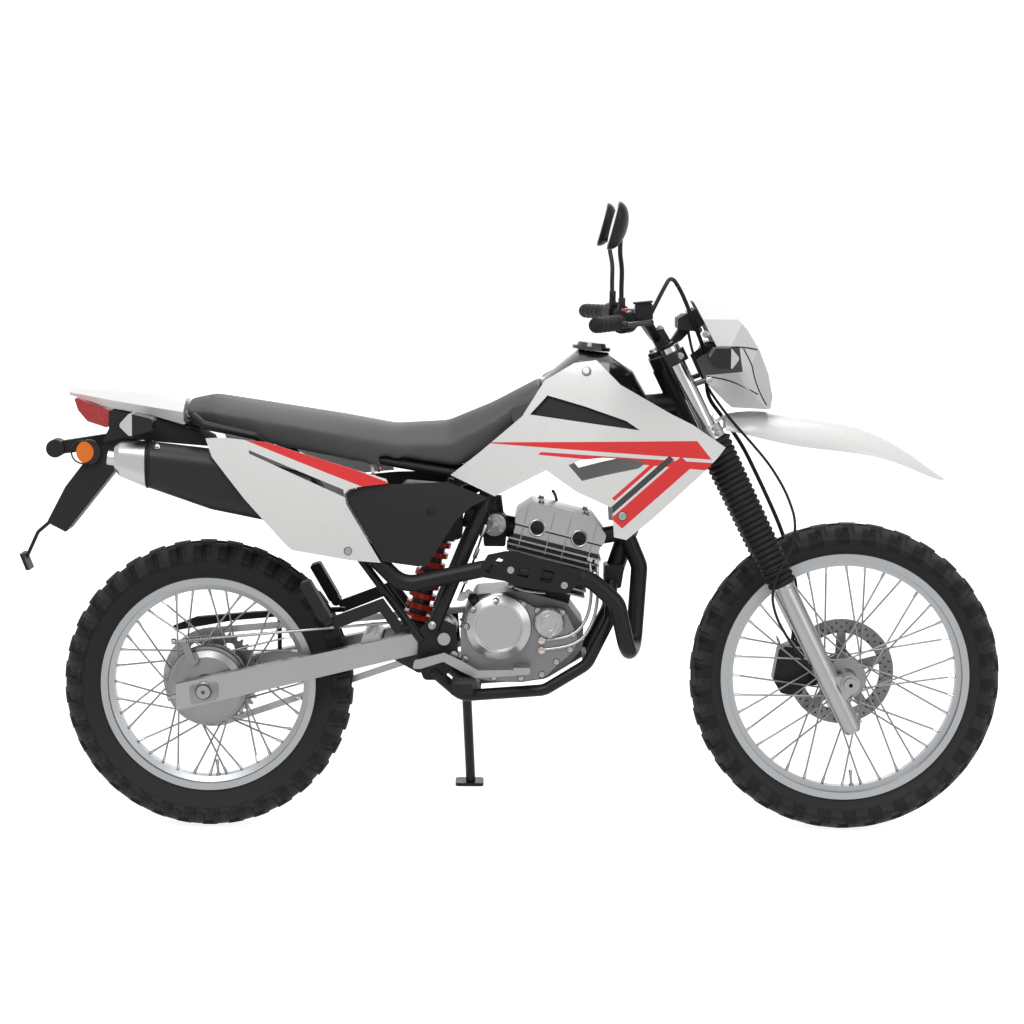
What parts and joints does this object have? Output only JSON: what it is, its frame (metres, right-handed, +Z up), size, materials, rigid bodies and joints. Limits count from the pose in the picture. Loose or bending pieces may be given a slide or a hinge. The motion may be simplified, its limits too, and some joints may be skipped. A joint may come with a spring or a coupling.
{
  "type": "motorcycle",
  "caption": "Dual-purpose single-cylinder motorcycle with high fenders, long seat and spoked wheels, leaning on its side stand.",
  "frame": {"origin": "on the ground under the middle of the leaning machine's box", "axes": "+X forward along the machine, +Y to its left, +Z up; the machine leans 9 degrees to its left on its side stand"},
  "size_m": [2.1933, 0.8566, 1.4433],
  "materials": {
    "tyre": "matt",
    "rim_alloy": "satin",
    "hub_alloy": "satin",
    "bare_steel": "brushed",
    "fork_steel": "polished",
    "cast_alloy": "cast",
    "black_rubber": "matt",
    "bar_steel": "satin",
    "mirror_shell": "matt",
    "white_panel": "gloss",
    "lens": "clear",
    "dark_plastic": "matt",
    "amber_lens": "gloss",
    "frame_paint": "gloss",
    "shock_steel": "gloss",
    "engine_alloy": "cast",
    "pipe_steel": "satin",
    "muffler_black": "matt",
    "tank_black": "gloss",
    "cap_black": "satin",
    "seat_cover": "grained",
    "red_lens": "gloss"
  },
  "bodies": {
    "chassis": {"frame_main": "frame_paint", "frame_cradle": "frame_paint", "subframe": "frame_paint", "swing_arm": "cast_alloy", "axle_bolts": "bare_steel", "rear_brake_panel": "cast_alloy", "rear_shock": "shock_steel", "crankcase": "engine_alloy", "engine_covers": "engine_alloy", "cylinder": "engine_alloy", "cylinder_head": "engine_alloy", "intake": "dark_plastic", "exhaust_pipe": "pipe_steel", "heat_shield": "muffler_black", "muffler": "muffler_black", "fuel_tank": "tank_black", "fuel_cap": "cap_black", "seat": "seat_cover", "shrouds": "white_panel", "shroud_backings": "dark_plastic", "side_panels": "white_panel", "side_covers": "dark_plastic", "tail_cowl": "white_panel", "tail_light": "red_lens", "rear_fender": "dark_plastic", "rear_lamps": "amber_lens", "grab_rails": "frame_paint", "foot_pegs": "bare_steel", "foot_controls": "bare_steel", "chain_guard": "dark_plastic", "drive_chain": "bare_steel"},
    "steering": {"fork_tubes": "fork_steel", "fork_sliders": "cast_alloy", "fork_gaiters": "black_rubber", "triple_clamps": "cast_alloy", "front_axle": "bare_steel", "handlebar": "bar_steel", "grips": "black_rubber", "bar_controls": "bar_steel", "mirrors": "mirror_shell", "front_fender": "white_panel", "headlight_cowl": "white_panel", "headlight_lens": "lens", "instrument": "dark_plastic", "front_signals": "amber_lens", "front_caliper": "cast_alloy", "brake_hose": "black_rubber", "meter_cable": "black_rubber"},
    "front_wheel": {"front_tyre": "tyre", "front_rim": "rim_alloy", "front_hub": "hub_alloy", "front_brake_disc": "bare_steel"},
    "rear_wheel": {"rear_tyre": "tyre", "rear_rim": "rim_alloy", "rear_hub": "hub_alloy", "rear_sprocket": "bare_steel"},
    "side_stand": {"side_stand": "frame_paint"}
  },
  "joints": [
    {"name": "steering_turn", "type": "hinge", "parent": "chassis", "child": "steering", "pos_m": [0.559, -0.09264, 0.58181], "axis": [-0.4431, 0.1402, 0.8854], "range_deg": [-42, 42]},
    {"name": "front_wheel_spin", "type": "hinge", "parent": "steering", "child": "front_wheel", "pos_m": [0.74929, -0.13028, 0.34418], "axis": [0, 0.9877, -0.1564], "continuous": true},
    {"name": "rear_wheel_spin", "type": "hinge", "parent": "chassis", "child": "rear_wheel", "pos_m": [-0.67771, -0.13389, 0.32137], "axis": [0, 0.9877, -0.1564], "continuous": true},
    {"name": "side_stand_fold", "type": "hinge", "parent": "chassis", "child": "side_stand", "pos_m": [-0.10271, 0.00251, 0.27486], "axis": [0.1729, 0.9456, 0.2757], "range_deg": [0, 91]}
  ]
}
